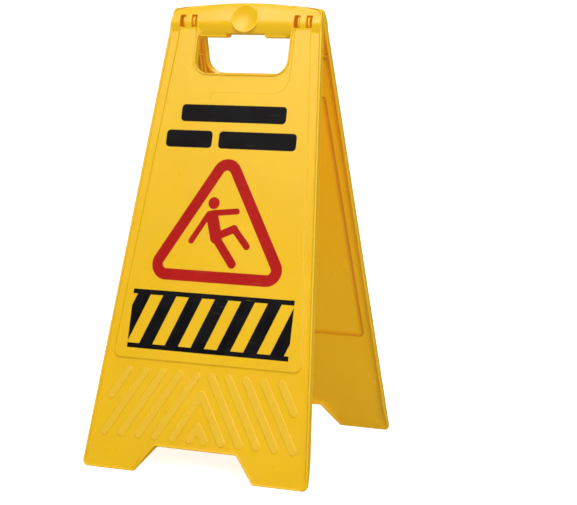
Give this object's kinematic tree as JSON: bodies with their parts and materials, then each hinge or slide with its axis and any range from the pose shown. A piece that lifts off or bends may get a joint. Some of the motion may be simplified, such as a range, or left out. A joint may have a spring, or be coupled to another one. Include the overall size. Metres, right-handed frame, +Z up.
{
  "type": "wet floor sign",
  "caption": "Folding plastic floor sign: tapered boards hinged at a carry handle, with a printed warning triangle.",
  "frame": {"origin": "on the floor, midway between the front and rear feet, under the hinge, with the sign open", "axes": "+Z up; +X along the hinge, to the right of someone reading the front board; the front board faces -Y"},
  "size_m": [0.2986, 0.3316, 0.5752],
  "materials": {
    "yellow_plastic": "moulded polypropylene, fine satin grain",
    "pin_plastic": "natural acetal rod",
    "red_ink": "screen-printed ink, satin",
    "black_ink": "screen-printed ink, satin"
  },
  "bodies": {
    "front": {"front_board": "yellow_plastic", "front_word_bar_top": "black_ink", "front_word_bar_left": "black_ink", "front_word_bar_right": "black_ink", "front_warning_triangle": "red_ink", "front_figure_head": "red_ink", "front_figure_body": "red_ink", "front_hazard_band": "black_ink"},
    "rear": {"rear_board": "yellow_plastic", "rear_word_bar_top": "black_ink", "rear_word_bar_left": "black_ink", "rear_word_bar_right": "black_ink", "rear_warning_triangle": "red_ink", "rear_figure_head": "red_ink", "rear_figure_body": "red_ink", "rear_hazard_band": "black_ink", "hinge_pin_left": "pin_plastic", "hinge_pin_right": "pin_plastic"}
  },
  "joints": [
    {"name": "fold", "type": "hinge", "parent": "front", "child": "rear", "pos_m": [0, 0, 0.55099], "axis": [-1, 0, 0], "range_deg": [0, 31.5]}
  ]
}
